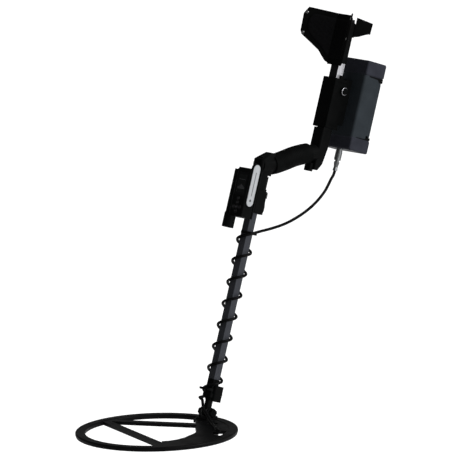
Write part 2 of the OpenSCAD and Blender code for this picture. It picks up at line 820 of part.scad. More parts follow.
module cuff_pad() color([0.08, 0.08, 0.08]) shaft_frame() {
    pad_t = 4;
    off = eps;
    cuff_wall(1, pad_t, off, 11);
    cuff_wall(-1, pad_t, off, 11);
    span([fold_x + off, -cuff_half, 834], [fold_x + off + pad_t, cuff_half, cuff_top - 11]);
}

// Frame of a rivet: its axis is z, square to the wall, with zero on the wall's inner face
module rivet_axis(s, z) {
    translate([fold_x, s * cuff_half, z])
        rotate([0, 0, s * 45])
            translate([rivet_reach, 0, 0])
                rotate([s * 90, 0, 0])
                    children();
}

module cuff_rivets() color(silver) shaft_frame() for (s = [-1, 1], z = rivet_z)
    rivet_axis(s, z) {
        translate([0, 0, -cuff_t - 0.5])
            cylinder(r = 2.18, h = cuff_t + 1, $fn = 20);
        translate([0, 0, 0.02])
            cylinder(r = 3.2, h = 1.4, $fn = 24);
        translate([0, 0, -cuff_t - 1.4])
            cylinder(r = 3.2, h = 1.38, $fn = 24);
    }

module stand() color(black) shaft_frame() {
    back = -tube_back - tube_w / 2 - 1.3;
    span([back, -13, 890], [back - 3, 13, 921]);
    for (s = [-1, 1])
        translate([back - 1.5, s * 11.5, 0])
            rotate([0, 0, s * 135])
                rotate([90, 0, 0])
                    linear_extrude(4, center = true)
                        polygon([[0, 891], [13, 895], [25, 901.5], [33, 905], [36.5, 905], [37.5, 930], [0, 936]]);
}

coil_shell();
coil_winding();
skid_plate();
coil_bracket();
coil_gland();
hinge_bolt();
hinge_knob();
hinge_washers();
rod_end();
lower_rod();
lock_collar();
lock_knob();
cable_spiral();
cable_straps();
cable_tail();
cable_lead();
handle_left();
handle_right();
handle_screws();
grip_sleeve();
rod_collar();
rod_lever();
lever_pin();
pod_case();
pod_back();
display_window();
display_module();
key_menu();
key_up();
key_down();
key_left();
key_right();
key_power();
nameplate();
lamp_barrel();
lamp_head();
lamp_lens();
lamp_button();
upper_tube();
scale_plate();
tube_cap();
tube_clamp();
clamp_knob();
box_bracket();
box_body();
box_top_cap();
box_bottom_cap();
battery_door();
battery_pack();
main_board();
speaker();
coil_socket();
headphone_socket();
plug_ring();
plug_boot();
cuff_shell();
cuff_saddle();
cuff_pad();
cuff_rivets();
stand();
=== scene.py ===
"""Looks for the hand-held metal detector: camera, light, materials and the detailed pieces, built round
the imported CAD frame. The row frame is in metres: +x forward, +y the user's left, +z up. Points on the
shaft and on the coil are written in millimetres, and shaft() and level() turn them into the row frame.
Flat outlines are in millimetres too. Radii, edge widths and turned profiles are in metres."""
import math

import bpy
from mathutils import Matrix, Vector


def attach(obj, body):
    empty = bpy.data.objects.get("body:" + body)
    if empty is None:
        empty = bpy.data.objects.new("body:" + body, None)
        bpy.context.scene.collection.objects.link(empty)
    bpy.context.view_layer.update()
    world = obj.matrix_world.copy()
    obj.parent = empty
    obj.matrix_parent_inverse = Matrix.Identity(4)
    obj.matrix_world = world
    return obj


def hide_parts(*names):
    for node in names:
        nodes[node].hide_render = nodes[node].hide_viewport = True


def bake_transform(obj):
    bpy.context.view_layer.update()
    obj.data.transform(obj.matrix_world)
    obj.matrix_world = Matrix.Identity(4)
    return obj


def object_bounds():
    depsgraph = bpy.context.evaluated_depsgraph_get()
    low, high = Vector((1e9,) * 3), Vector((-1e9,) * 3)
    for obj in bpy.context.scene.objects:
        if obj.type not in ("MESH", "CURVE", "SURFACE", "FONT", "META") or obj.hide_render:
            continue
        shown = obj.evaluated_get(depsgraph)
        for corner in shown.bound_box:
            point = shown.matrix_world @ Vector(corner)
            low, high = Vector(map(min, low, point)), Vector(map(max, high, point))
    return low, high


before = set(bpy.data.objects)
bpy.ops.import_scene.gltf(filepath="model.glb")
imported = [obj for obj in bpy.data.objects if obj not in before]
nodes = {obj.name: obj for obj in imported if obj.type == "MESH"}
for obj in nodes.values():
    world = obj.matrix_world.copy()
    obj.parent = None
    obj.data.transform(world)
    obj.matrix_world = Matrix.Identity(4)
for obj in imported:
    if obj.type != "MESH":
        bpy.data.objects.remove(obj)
cad_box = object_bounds()

# ---- the shaft's frame, as in the CAD: x to the shaft's front, y left, z up the shaft, in millimetres ----

LEAN = math.radians(20)
GRIP_MID = Vector((-85, 0, 596))
SHAFT_X = Vector((math.cos(LEAN), 0, math.sin(LEAN)))
MM = 0.001
TO_ROW = Matrix.Rotation(-LEAN, 4, "Y") @ Matrix.Scale(MM, 4) @ Matrix.Translation(-GRIP_MID)


def shaft(x, y, z):
    """A point given along the shaft, in millimetres, as a point in the row frame."""
    return TO_ROW @ Vector((x, y, z))


PIN = shaft(0, 0, 0)


def level(x, y, z):
    """A point given from the hinge pin in the coil's level frame, in millimetres."""
    return PIN + Vector((x, y, z)) * MM


# ---- camera ----

AZIMUTH = math.radians(135.7)
ELEVATION = math.radians(11.43)
ROLL = math.radians(1.45)
FRAME_WIDTH = 1.0305
PIN_TO_CENTRE = (0.05754, 0.39756)
LENS = 900
CLIP_END = 200

back = Vector((math.sin(AZIMUTH) * math.cos(ELEVATION), -math.cos(AZIMUTH) * math.cos(ELEVATION),
               math.sin(ELEVATION)))
look = (-back).to_track_quat("-Z", "Y") @ Matrix.Rotation(-ROLL, 3, "Z").to_quaternion()
camera = bpy.data.objects.new("camera", bpy.data.cameras.new("camera"))
bpy.context.scene.collection.objects.link(camera)
camera.data.lens = LENS
distance = FRAME_WIDTH * LENS / camera.data.sensor_width
camera.rotation_mode = "QUATERNION"
camera.rotation_quaternion = look
camera.location = PIN + look @ Vector((*PIN_TO_CENTRE, 0)) + back * distance
camera.data.clip_end = CLIP_END
bpy.context.scene.camera = camera


# ---- mesh helpers ----

def make_object(name, verts, faces, smooth=True):
    """A mesh object of the given corners and faces, in the scene."""
    mesh = bpy.data.meshes.new(name)
    mesh.from_pydata([tuple(v) for v in verts], [], faces)
    mesh.update()
    for face in mesh.polygons:
        face.use_smooth = smooth
    piece = bpy.data.objects.new(name, mesh)
    bpy.context.scene.collection.objects.link(piece)
    return piece


def spline(points, steps):
    """Points on a smooth curve through the given ones."""
    out = []
    last = len(points) - 1
    for i in range(last):
        a, b, c, d = points[max(i - 1, 0)], points[i], points[i + 1], points[min(i + 2, last)]
        for k in range(steps):
            t = k / steps
            out.append(0.5 * (2 * b + (c - a) * t + (2 * a - 5 * b + 4 * c - d) * t * t
                              + (3 * b - a - 3 * c + d) * t ** 3))
    out.append(points[last].copy())
    return out


def frames_along(path, start_up):
    """A heading and two square directions at each point, carried along without twisting."""
    up = start_up
    out = []
    for i, p in enumerate(path):
        heading = (path[min(i + 1, len(path) - 1)] - path[max(i - 1, 0)]).normalized()
        up = (up - heading * up.dot(heading)).normalized()
        out.append((heading, up, heading.cross(up)))
    return out


def sweep(name, path, radius, sides=16, start_up=Vector((0.3, 0.5, 0.8))):
    """A round tube on a route; radius is a number, or a function of the share of the way and the angle."""
    verts, faces = [], []
    count = len(path)
    for i, (heading, up, side) in enumerate(frames_along(path, start_up)):
        for k in range(sides):
            a = 2 * math.pi * k / sides
            r = radius(i / (count - 1), a) if callable(radius) else radius
            verts.append(path[i] + (up * math.cos(a) + side * math.sin(a)) * r)
    for i in range(count - 1):
        for k in range(sides):
            n = (k + 1) % sides
            faces.append((i * sides + k, i * sides + n, (i + 1) * sides + n, (i + 1) * sides + k))
    faces.append(tuple(range(sides - 1, -1, -1)))
    faces.append(tuple((count - 1) * sides + k for k in range(sides)))
    return make_object(name, verts, faces)


def lathe(name, origin, axis, profile, segments=40):
    """A turned piece: profile is a list of (radius, height) in metres along the axis."""
    axis = axis.normalized()
    side = axis.orthogonal().normalized()
    other = axis.cross(side)
    verts, faces = [], []
    for r, h in profile:
        for k in range(segments):
            a = 2 * math.pi * k / segments
            verts.append(origin + axis * h + (side * math.cos(a) + other * math.sin(a)) * r)
    rings = len(profile)
    for i in range(rings - 1):
        for k in range(segments):
            n = (k + 1) % segments
            faces.append((i * segments + k, i * segments + n, (i + 1) * segments + n, (i + 1) * segments + k))
    faces.append(tuple(range(segments - 1, -1, -1)))
    faces.append(tuple((rings - 1) * segments + k for k in range(segments)))
    return make_object(name, verts, faces)


PLATE_BEVEL = 0.25


def plate(name, outline, thick, place):
    """A flat piece with a bevelled rim, from an outline and a thickness in millimetres.

    place(u, v, w) turns a point of the flat piece into one in the row frame."""
    n = len(outline)
    cu = sum(p[0] for p in outline) / n
    cv = sum(p[1] for p in outline) / n
    verts = []
    inset = min(PLATE_BEVEL, thick * 0.4)
    layers = [(0, 0), (0, thick - inset), (inset, thick)]
    for pull, w in layers:
        for u, v in outline:
            du, dv = u - cu, v - cv
            size = max(math.hypot(du, dv), 1e-6)
            verts.append(place(u - du / size * pull, v - dv / size * pull, w))
    faces = []
    for layer in range(2):
        for k in range(n):
            m = (k + 1) % n
            faces.append((layer * n + k, layer * n + m, (layer + 1) * n + m, (layer + 1) * n + k))
    faces.append(tuple(range(n - 1, -1, -1)))
    faces.append(tuple(2 * n + k for k in range(n)))
    return make_object(name, verts, faces, smooth=False)


def bevel(piece, width):
    """Rounds the edges sharper than 35 degrees by a width in metres."""
    mod = piece.modifiers.new("edge", "BEVEL")
    mod.width = width
    mod.segments = 2
    mod.limit_method = "ANGLE"
    mod.angle_limit = math.radians(35)
    mod.use_clamp_overlap = True
    mod.harden_normals = False
    return piece


# ---- materials ----

class Maker:
    """Builds one node material step by step on a Principled shader, in object coordinates."""

    def __init__(self, name, color, rough, metallic=0.0, coat=0.0, sheen=0.0, specular=0.5):
        self.mat = bpy.data.materials.new(name)
        self.mat.use_nodes = True
        self.tree = self.mat.node_tree
        self.shader = self.tree.nodes["Principled BSDF"]
        self.shader.inputs["Base Color"].default_value = (*color, 1)
        self.shader.inputs["Roughness"].default_value = rough
        self.shader.inputs["Metallic"].default_value = metallic
        self.shader.inputs["Coat Weight"].default_value = coat
        self.shader.inputs["Sheen Weight"].default_value = sheen
        self.shader.inputs["Specular IOR Level"].default_value = specular
        self.color = color
        self.rough = rough
        self.coords = self.tree.nodes.new("ShaderNodeTexCoord").outputs["Object"]
        self.normal = None

    def node(self, kind, **values):
        """A new shader node; each value goes to the input of that name, or else to the node's own setting."""
        n = self.tree.nodes.new(kind)
        for key, value in values.items():
            if key in n.inputs:
                n.inputs[key].default_value = value
            else:
                setattr(n, key, value)
        return n

    def link(self, a, b):
        self.tree.links.new(a, b)

    def mapped(self, scale=(1, 1, 1), turn=(0, 0, 0)):
        """Object coordinates turned and stretched, for lines that run one way."""
        m = self.node("ShaderNodeMapping")
        m.inputs["Scale"].default_value = scale
        m.inputs["Rotation"].default_value = turn
        self.link(self.coords, m.inputs["Vector"])
        return m.outputs["Vector"]

    def noise(self, scale, detail=3.0, rough=0.55, vector=None):
        n = self.node("ShaderNodeTexNoise", Scale=scale, Detail=detail, Roughness=rough)
        self.link(vector if vector is not None else self.coords, n.inputs["Vector"])
        return n.outputs["Fac"]

    def ramp(self, fac, low, high, start=0.3, end=0.7):
        """Turns a factor into a run from low to high, each a colour or a plain number."""
        r = self.node("ShaderNodeValToRGB")
        for stop, position, value in zip(r.color_ramp.elements, (start, end), (low, high)):
            stop.position = position
            stop.color = (*value, 1) if hasattr(value, "__len__") else (value, value, value, 1)
        self.link(fac, r.inputs["Fac"])
        return r.outputs["Color"]

    def vary(self, scale, amount, detail=4.0, vector=None):
        """Base colour that drifts a little darker and lighter over the surface."""
        low = [c * (1 - amount) for c in self.color]
        high = [min(1, c * (1 + amount) + 0.0003) for c in self.color]
        self.link(self.ramp(self.noise(scale, detail, vector=vector), low, high),
                  self.shader.inputs["Base Color"])
        return self

    def patchy(self, scale, spread, detail=3.0, vector=None):
        """Roughness that changes in soft patches, as handling leaves it."""
        self.link(self.ramp(self.noise(scale, detail, vector=vector), max(0, self.rough - spread),
                            min(1, self.rough + spread)), self.shader.inputs["Roughness"])
        return self

    def bump(self, height, strength, distance):
        """Adds relief from a height, on top of the relief added before."""
        b = self.node("ShaderNodeBump", Strength=strength, Distance=distance)
        self.link(height, b.inputs["Height"])
        if self.normal is not None:
            self.link(self.normal, b.inputs["Normal"])
        self.normal = b.outputs["Normal"]
        self.link(self.normal, self.shader.inputs["Normal"])
        return self


def moulded(name, color, rough, grain=1400, depth=0.00006, coat=0.0, specular=0.5):
    """Injection-moulded nylon or ABS: fine spark-eroded grain, soft handling marks, slow colour drift."""
    m = Maker(name, color, rough, coat=coat, specular=specular)
    m.vary(35, 0.14)
    m.patchy(22, 0.08)
    m.bump(m.noise(grain, 2.0, 0.6), 0.5, depth)
    m.bump(m.noise(60, 2.0), 0.15, 0.0002)
    return m.mat


def brushed(name, color, rough, turn, stretch):
    """Bare metal with fine brushed lines; stretch is largest across the lines."""
    m = Maker(name, color, rough, metallic=1.0)
    lines = m.mapped(stretch, turn)
    m.vary(1, 0.12, vector=lines)
    m.patchy(1, 0.1, vector=lines)
    m.bump(m.noise(1, 3.0, vector=lines), 0.25, 0.00004)
    m.bump(m.noise(45, 2.0), 0.1, 0.00015)
    return m.mat


def coated_tube(name, color, rough, metallic, turn):
    """Anodised or wrapped tube: fine lengthwise drawing lines under a thin coat."""
    m = Maker(name, color, rough, metallic=metallic, coat=0.02, specular=0.05)
    lines = m.mapped((700, 700, 6), turn)
    m.vary(1, 0.12, vector=lines)
    m.patchy(30, 0.08)
    m.bump(m.noise(1, 3.0, vector=lines), 0.2, 0.00003)
    return m.mat


def woven(name, color, rough, pitch, turn=(0, 0, 0), depth=0.00025, sheen=0.01):
    """Cloth or hook-and-loop: two crossed wave sets make the weave, with fine fuzz over it."""
    m = Maker(name, color, rough, sheen=sheen, specular=0.02)
    m.vary(260, 0.3)
    base = m.mapped((1, 1, 1), turn)
    for direction in ("X", "Z"):
        w = m.node("ShaderNodeTexWave", Scale=pitch, Distortion=1.2, Detail=1.0, bands_direction=direction)
        m.link(base, w.inputs["Vector"])
        m.bump(w.outputs["Fac"], 0.45, depth)
    m.bump(m.noise(2600, 2.0), 0.4, 0.0001)
    return m.mat


def rubber(name, color, rough, cell=340, depth=0.0004, specular=0.3):
    """Soft moulded rubber: small raised pips with worn-smooth patches."""
    m = Maker(name, color, rough, specular=specular)
    m.vary(40, 0.2)
    m.patchy(28, 0.1)
    v = m.node("ShaderNodeTexVoronoi", Scale=cell)
    m.link(m.coords, v.inputs["Vector"])
    m.bump(m.ramp(v.outputs["Distance"], 1.0, 0.0, 0.15, 0.55), 0.6, depth)
    m.bump(m.noise(1500, 2.0), 0.25, 0.00005)
    return m.mat


SHAFT_TURN = (0, LEAN, 0)
MAT = {
    "coil": moulded("coil_abs", (0.0018, 0.0018, 0.0019), 0.42, grain=1100, depth=0.00008, specular=0.02),
    "skid": moulded("skid_nylon", (0.0040, 0.0040, 0.0045), 0.6, specular=0.02),
    "nylon": moulded("black_nylon", (0.0011, 0.0012, 0.0012), 0.46, specular=0.015),
    "pod": moulded("pod_shell", (0.0012, 0.0014, 0.0014), 0.42, grain=1700, specular=0.015),
    "box": moulded("box_shell", (0.0105, 0.0128, 0.0150), 0.45, grain=1300, depth=0.00009, specular=0.02),
    "cap": moulded("box_cap", (0.0115, 0.0122, 0.0160), 0.48, grain=1000, depth=0.0001, specular=0.02),
    "clamp": moulded("clamp_nylon", (0.0009, 0.0010, 0.0010), 0.4, specular=0.012),
    "cuff": moulded("cuff_shell", (0.0008, 0.0008, 0.0008), 0.5, grain=900, depth=0.0001, specular=0.01),
    "key": moulded("key_rubber", (0.0030, 0.0030, 0.0030), 0.6, grain=2200, specular=0.04),
    "washer": moulded("washer_fibre", (0.03, 0.03, 0.03), 0.75),
    "rod": coated_tube("rod_carbon", (0.0200, 0.0212, 0.0250), 0.45, 0.4, SHAFT_TURN),
    "tube": coated_tube("tube_anodised", (0.0030, 0.0030, 0.0034), 0.42, 0.5, SHAFT_TURN),
    "cable": rubber("cable_jacket", (0.0012, 0.0012, 0.0013), 0.42, cell=1200, depth=0.00005, specular=0.02),
    "grip": rubber("grip_rubber", (0.0010, 0.0011, 0.0011), 0.62, cell=420, depth=0.0003, specular=0.01),
    "strap": woven("hook_and_loop", (0.0022, 0.0022, 0.0022), 0.9, 520),
    "pad": woven("neoprene_face", (0.0008, 0.0008, 0.0009), 0.86, 620, SHAFT_TURN, depth=0.00012, sheen=0.0),
    "plate": brushed("plate_alu", (0.3000, 0.3100, 0.3200), 0.40, SHAFT_TURN, (900, 900, 10)),
    "scale": brushed("scale_alu", (0.4200, 0.4200, 0.4400), 0.38, SHAFT_TURN, (900, 900, 10)),
    "steel": brushed("zinc_steel", (0.50, 0.50, 0.52), 0.32, (0, 0, 0.4), (420, 420, 60)),
    "connector": brushed("connector_satin", (0.0850, 0.0880, 0.0900), 0.42, SHAFT_TURN, (500, 500, 80)),
    "rivet": brushed("rivet_grey", (0.1000, 0.1000, 0.1000), 0.34, (0.3, 0.2, 0), (600, 600, 200)),
    "rim": brushed("knob_rim", (0.2200, 0.2200, 0.2300), 0.36, (0, 0.4, 0), (500, 60, 500)),
    "ink": moulded("printed_ink", (0.012, 0.012, 0.014), 0.55, grain=2500, depth=0.00003),
    "mark": moulded("printed_mark", (0.0180, 0.0180, 0.0200), 0.6, grain=2500, depth=0.00003, specular=0.05),
    "copper": brushed("winding_copper", (0.75, 0.36, 0.18), 0.35, (0, 0, 0), (900, 900, 900)),
    "board": moulded("board_green", (0.02, 0.10, 0.05), 0.45),
    "battery": moulded("battery_wrap", (0.015, 0.03, 0.12), 0.3, coat=0.3),
}

glass = Maker("window_glass", (0.0014, 0.0016, 0.0018), 0.12, specular=0.05)
glass.vary(18, 0.2)
glass.patchy(14, 0.05)
glass.bump(glass.noise(25, 2.0), 0.05, 0.0001)
MAT["glass"] = glass.mat

clear = Maker("lens_clear", (0.82, 0.86, 0.9), 0.06)
clear.shader.inputs["Transmission Weight"].default_value = 0.9
clear.shader.inputs["IOR"].default_value = 1.49
clear.patchy(40, 0.04)
clear.bump(clear.noise(300, 1.0), 0.15, 0.0001)
MAT["lens"] = clear.mat

lcd = Maker("lcd_face", (0.0022, 0.0026, 0.0026), 0.35, specular=0.05)
lcd.vary(30, 0.1)
lcd.bump(lcd.noise(1800, 1.0), 0.1, 0.00002)
MAT["lcd"] = lcd.mat


def dress(piece, key):
    """Gives a piece one of the materials above."""
    piece.data.materials.clear()
    piece.data.materials.append(MAT[key])
    return piece


def add(piece, body, key, slot_name, *replaced):
    """Gives a new piece its material and its body, and hides what it stands for; slot_name is not used."""
    dress(piece, key)
    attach(piece, body)
    if replaced:
        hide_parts(*replaced)
    return piece


# ---- the lead: from the box's plug, wound down the rod, to the coil's gland ----

LEAD_R = 0.0033
ROUTE_STEPS = 6
LEAD_ROUTE = [(-229, 0, 593.8), (-227.5, 0.2, 584), (-222.5, 0.5, 573), (-217, 1.5, 559), (-210, 2.5, 544),
              (-199.5, 4, 529), (-186, 5.5, 513), (-169, 7, 496.5), (-147, 9, 479), (-118, 11, 459.5),
              (-92, 13, 445.5), (-66, 15, 434), (-42, 16.5, 424.5), (-22, 17.5, 417), (-0.8, 18, 408.4)]
TAIL_TOP = [(-0.3, -18, 43.3), (-4.5, -18.8, 41.5), (-7, -20.5, 37.5), (-4.5, -22.3, 33.5), (2, -22.3, 31),
            (9, -20, 29.5), (15.5, -15, 28), (20, -7, 26), (22.5, 1, 23.5)]
TAIL_LOW = [(23, 14, 13.5), (23, 22, 5.5), (25, 30, -2), (29, 39, -7.5), (35, 48.5, -10), (43, 60, -10.7),
            (54, 76, -10.7), (66, 93, -10.6), (77, 108, -9.6), (84, 117, -8.6)]
SPIRAL_LOW = 43.5
SPIRAL_PITCH = 48.6
SPIRAL_TURNS = 7.5
SPIRAL_R = 18
SPIRAL_STEPS = 40


def length_of(path):
    """The length of a route, in metres."""
    return sum((b - a).length for a, b in zip(path, path[1:]))


lead_path = spline([shaft(*p) for p in LEAD_ROUTE], ROUTE_STEPS)
lead = sweep("lead_hanging", lead_path, LEAD_R)
dress(lead, "cable")
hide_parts("cable_lead")
tuple(lead_path[0])
length_of(lead_path)
[tuple(p) for p in lead_path]
tuple(lead_path[0])
tuple(lead_path[-1])
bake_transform(lead)

steps = int(SPIRAL_TURNS * SPIRAL_STEPS)
spiral_path = []
for i in range(steps + 1):
    a = math.radians(-90) + 2 * math.pi * SPIRAL_TURNS * i / steps
    z = SPIRAL_LOW + SPIRAL_TURNS * SPIRAL_PITCH * i / steps
    spiral_path.append(shaft(SPIRAL_R * math.cos(a), SPIRAL_R * math.sin(a), z))
add(sweep("lead_wound", spiral_path, LEAD_R), "rod", "cable", "cable", "cable_spiral")

tail_path = spline([shaft(*p) for p in TAIL_TOP] + [level(*p) for p in TAIL_LOW], ROUTE_STEPS)
tail = sweep("lead_tail", tail_path, LEAD_R)
dress(tail, "cable")
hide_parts("cable_tail")
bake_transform(tail)

# ---- CAD nodes that keep their shape: material and softened edges ----

CAD_LOOKS = [
    ("coil", 0.0006, "coil_shell coil_bracket coil_gland"),
    ("skid", 0.0004, "skid_plate"),
    ("copper", 0, "coil_winding"),
    ("nylon", 0.0005, "hinge_bolt hinge_knob lock_knob tube_cap stand cuff_saddle speaker lamp_button"),
    ("nylon", 0, "rod_end lock_collar handle_left handle_right rod_collar"),
    ("washer", 0, "hinge_washers"),
    ("rod", 0, "lower_rod"),
    ("tube", 0, "upper_tube"),
    ("strap", 0, "cable_straps"),
    ("clamp", 0.0006, "rod_lever tube_clamp clamp_knob box_bracket"),
    ("pod", 0.0005, "pod_case pod_back"),
    ("pod", 0, "lamp_barrel lamp_head"),
    ("glass", 0.0003, "display_window"),
    ("board", 0, "display_module main_board"),
    ("key", 0.0005, "key_menu key_up key_down key_left key_right key_power"),
    ("plate", 0.0002, "nameplate"),
    ("scale", 0.0002, "scale_plate"),
    ("lens", 0, "lamp_lens"),
    ("box", 0.0008, "box_body battery_door"),
    ("cap", 0, "box_top_cap box_bottom_cap"),
    ("battery", 0.001, "battery_pack"),
    ("connector", 0.0003, "coil_socket headphone_socket plug_ring plug_boot"),
    ("steel", 0, "lever_pin handle_screws"),
    ("cuff", 0.0008, "cuff_shell"),
]
for key, width, names in CAD_LOOKS:
    for name in names.split():
        dress(nodes[name], key)
        if width:
            bevel(nodes[name], width)

# ---- grip: a rubber sleeve with soft ribs ----

GRIP_ROUTE = [(-25, 568), (-38, 572.5), (-51, 578.5), (-65, 585.5), (-78, 592.5), (-92, 599.5), (-105, 605),
              (-118, 610), (-130, 614)]
GRIP_R = 0.023
GRIP_RIBS = 26
RIB_DEPTH = 0.0006
END_ROUND = 0.0012
grip_path = spline([shaft(x, 0, z) for x, z in GRIP_ROUTE], 14)


def grip_radius(share, angle):
    """The grip's radius at a share of its length: rounded ends, and ribs that fade out towards them."""
    from_end = min(share, 1 - share)
    ends = min(1.0, from_end / 0.02)
    ribs = 0.5 + 0.5 * math.cos(2 * math.pi * share * GRIP_RIBS)
    worn = 0.7 + 0.3 * math.cos(angle)
    return GRIP_R - END_ROUND * (1 - ends) - RIB_DEPTH * ribs * worn * min(1, from_end / 0.06)


add(sweep("grip_rubber", grip_path, grip_radius, sides=64), "handle", "grip", "grip_rubber", "grip_sleeve")

# ---- rivets: domed heads with a rolled rim inside the cuff, and the same shape in black outside ----

TUBE_X = -165.5
TUBE_HALF = 22.5 / 2
FOLD_X = TUBE_X + TUBE_HALF + 4.2
CUFF_HALF = 20
CUFF_T = 3.2
RIVET_REACH = 68
RIVET_Z = (878, 924)
RIVET_DOME = [(0.0031, 0), (0.0032, 0.0003), (0.0031, 0.0006), (0.0027, 0.0008), (0.0025, 0.0011),
              (0.0019, 0.0014), (0.001, 0.0015), (0.0002, 0.0015)]
c45 = math.sqrt(0.5)
heads, tails = [], []
for side in (-1, 1):
    along = Vector((c45, side * c45, 0))
    inward = Vector((c45, -side * c45, 0))
    for z in RIVET_Z:
        inner = Vector((FOLD_X, side * CUFF_HALF, z)) + along * RIVET_REACH
        inward_row = (shaft(*(inner + inward)) - shaft(*inner)).normalized()
        heads.append(lathe("rivet", shaft(*inner), inward_row, RIVET_DOME))
        tails.append(lathe("rivet", shaft(*(inner - inward * CUFF_T)), -inward_row, RIVET_DOME))


def join(name, pieces):
    """Makes several pieces one object."""
    bpy.ops.object.select_all(action="DESELECT")
    for p in pieces:
        p.select_set(True)
    bpy.context.view_layer.objects.active = pieces[0]
    bpy.ops.object.join()
    pieces[0].name = name
    pieces[0].data.name = name
    return pieces[0]


add(join("cuff_rivet_heads", heads), "cuff", "rivet", "zinc", "cuff_rivets")
add(join("cuff_rivet_tails", tails), "cuff", "nylon", "zinc", "cuff_rivets")

# ---- cuff liner: soft foam on both walls and the base, crowned between its edges ----

PAD_REACH = 63
PAD_GAP = 0.1
PAD_RIM = 0.7
PAD_CROWN = 2.8
PAD_QUILT = 0.25
ROUND_ACROSS = 7
ROUND_ALONG = 6
FOLD_SOFT = 5


def wall_limits(u):
    """Lowest and highest point of the liner at a distance from the fold, along a wall."""
    low = [(0, 834), (8, 838), (17, 847.5), (26, 857.5), (47, 870.5), (57, 883), (63, 893)]
    high = [(0, 924.5), (52, 924.5), (59, 918), (63, 909)]

    def at(table, x):
        for (x0, y0), (x1, y1) in zip(table, table[1:]):
            if x <= x1:
                return y0 + (y1 - y0) * (x - x0) / (x1 - x0)
        return table[-1][1]
    return at(low, u), at(high, u)


def liner():
    """The liner as one grid over both walls and the base, thick in the middle and rounded at its rim."""
    across, up = 60, 30
    total = 2 * (CUFF_HALF + PAD_REACH)
    verts, faces = [], []
    for layer in (1, 0):
        for i in range(across + 1):
            s = -total / 2 + total * i / across
            u = max(0.0, abs(s) - CUFF_HALF)
            low, high = wall_limits(u)
            side = 1 if s >= 0 else -1
            for j in range(up + 1):
                z = low + (high - low) * j / up
                to_end = (PAD_REACH + CUFF_HALF - abs(s)) / ROUND_ACROSS
                edge = max(min(to_end, (z - low) / ROUND_ALONG, (high - z) / ROUND_ALONG, 1.0), 0.0)
                crown = math.sqrt(1 - (1 - edge) ** 2)
                quilt = PAD_QUILT * math.sin(z * 0.55) * math.sin(s * 0.32)
                off = PAD_GAP + layer * (PAD_RIM + (PAD_CROWN + quilt) * crown)
                bend = (abs(s) - CUFF_HALF + FOLD_SOFT) / (2 * FOLD_SOFT)
                turn = min(1.0, max(0.0, bend)) * math.pi / 4
                base = Vector((FOLD_X + u * c45, side * (min(abs(s), CUFF_HALF) + u * c45), z))
                normal = Vector((math.cos(turn), -side * math.sin(turn), 0))
                verts.append(shaft(*(base + normal * off)))
    per = (across + 1) * (up + 1)
    for i in range(across):
        for j in range(up):
            a = i * (up + 1) + j
            b = a + up + 1
            faces.append((a, b, b + 1, a + 1))
            faces.append((per + a, per + a + 1, per + b + 1, per + b))
    for i in range(across):
        for j in (0, up):
            a = i * (up + 1) + j
            b = a + up + 1
            faces.append((a, per + a, per + b, b) if j == 0 else (a, b, per + b, per + a))
    for j in range(up):
        for i in (0, across):
            a = i * (up + 1) + j
            faces.append((a, a + 1, per + a + 1, per + a) if i == 0 else (a, per + a, per + a + 1, a + 1))
    return make_object("cuff_liner", verts, faces)


pad = liner()
soft = pad.modifiers.new("soft", "SUBSURF")
soft.render_levels = 1
soft.levels = 1
add(pad, "cuff", "pad", "pad_foam", "cuff_pad")

# ---- nameplate and scale: plain line, dot and ticks ----

POD_SIDE = 21 + 2.2
PLATE_MID = (36, 510)


def on_pod(u, v, w):
    return shaft(PLATE_MID[0] - u, POD_SIDE + w, PLATE_MID[1] + v)


def bar_outline(u0, v0, u1, v1):
    return [(u0, v0), (u1, v0), (u1, v1), (u0, v1)]


def dot_outline(v, radius, corners=20):
    turns = [2 * math.pi * k / corners for k in range(corners)]
    return [(radius * math.cos(a), v + radius * math.sin(a)) for a in turns]


INK_T = 0.15
marks = [plate("m", bar_outline(-0.9, -24, 0.9, 30), INK_T, on_pod),
         plate("m", dot_outline(-34, 3), INK_T, on_pod)]
add(join("nameplate_marks", marks), "handle", "ink", "window")

TUBE_SIDE = TUBE_HALF - 0.05
SCALE_Z = 700
TICK_RIGHT = 8.6
TICK_HALF = 0.3


def on_tube(u, v, w):
    return shaft(TUBE_X - u, TUBE_SIDE + w, SCALE_Z + v)


ticks = []
for i in range(23):
    reach = 5.5 if i % 5 == 0 else 3.0
    v = 6 + i * 5
    tick = bar_outline(TICK_RIGHT - reach, v - TICK_HALF, TICK_RIGHT, v + TICK_HALF)
    ticks.append(plate("t", tick, 0.04, on_tube))
add(join("scale_ticks", ticks), "cuff", "ink", "window")

# ---- box latches: dark seals in the seams between the box and its caps, deepest at the back ----

BOX_BACK = -207 - 60
BOX_SIDE = 48.95
LATCH_T = 0.9
# each seam: its height, the way its depth goes, and the depth at the front, middle and back
SEAMS = ((815, -1, (2.2, 3.5, 9.5)), (674, 1, (1.2, 2.0, 6.5)))
latches = []
for side in (-1, 1):
    def on_box(u, v, w, side=side):
        return shaft(BOX_BACK + 1.5 + u, side * (BOX_SIDE + w), v)
    for z, way, (thin, mid, deep) in SEAMS:
        outline = [(0.5, z), (44, z), (44, z + way * thin), (16, z + way * mid),
                   (10, z + way * deep), (0.5, z + way * deep)]
        latches.append(plate("latch", outline, LATCH_T, on_box))
add(join("box_latches", latches), "handle", "nylon", "box_plastic")

# ---- clamp knob: a turned rim round its face ----

KNOB_FACE = (-181.5, 21.98, 768)
KNOB_RIM = [(0.0070, 0), (0.0091, 0), (0.0091, 0.0005), (0.0086, 0.0009), (0.0076, 0.0009), (0.0070, 0.0005)]
rim = lathe("knob_rim", shaft(*KNOB_FACE), Vector((0, 1, 0)), KNOB_RIM)
add(rim, "clamp_screw", "rim", "zinc")

# ---- keys: raised generic symbols, each on its own key ----

